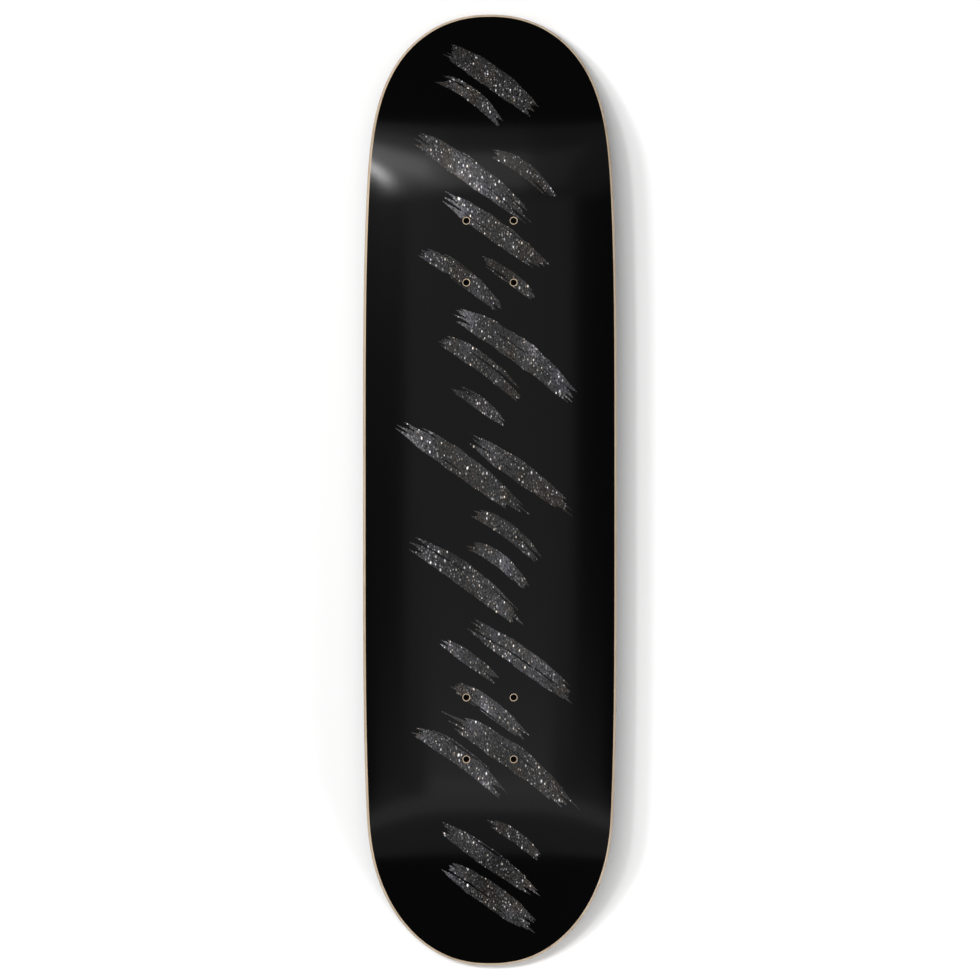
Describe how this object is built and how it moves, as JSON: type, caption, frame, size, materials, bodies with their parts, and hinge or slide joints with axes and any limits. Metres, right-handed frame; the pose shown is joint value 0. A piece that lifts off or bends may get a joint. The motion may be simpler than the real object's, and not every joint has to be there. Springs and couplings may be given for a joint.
{
  "type": "skateboard deck",
  "caption": "Bare skateboard deck of laminated maple with upturned nose and tail, side concave, drilled truck holes, a dark printed underside and a grit-covered riding side.",
  "frame": {"origin": "on the ground under the middle of the board, with the deck resting on its nose and tail tips, printed underside up", "axes": "+X along the board to the nose, +Y across the board, +Z out of the printed underside, where the trucks go"},
  "size_m": [0.8382, 0.2222, 0.0579],
  "materials": {
    "maple_face": "sanded and sealed rim",
    "maple_core": "sanded and sealed rim",
    "maple_cross": "sanded and sealed rim",
    "wood_glue": "cured glue line",
    "film_black": "satin heat-transfer film",
    "print_grey": "speckled dry-brush print under the film's clear coat",
    "adhesive": "pressure-sensitive adhesive",
    "grip_backing": "black fibre backing",
    "grit": "black silicon carbide grit"
  },
  "bodies": {
    "root": {"underside_veneer": "maple_face", "top_veneer": "maple_face", "core_veneer_2": "maple_core", "core_veneer_4": "maple_core", "core_veneer_6": "maple_core", "cross_veneer_3": "maple_cross", "cross_veneer_5": "maple_cross", "graphic_film": "film_black", "grip_adhesive": "adhesive", "grip_backing": "grip_backing", "grip_grit": "grit", "glue_line_1": "wood_glue", "glue_line_2": "wood_glue", "glue_line_3": "wood_glue", "glue_line_4": "wood_glue", "glue_line_5": "wood_glue", "glue_line_6": "wood_glue"}
  },
  "joints": []
}
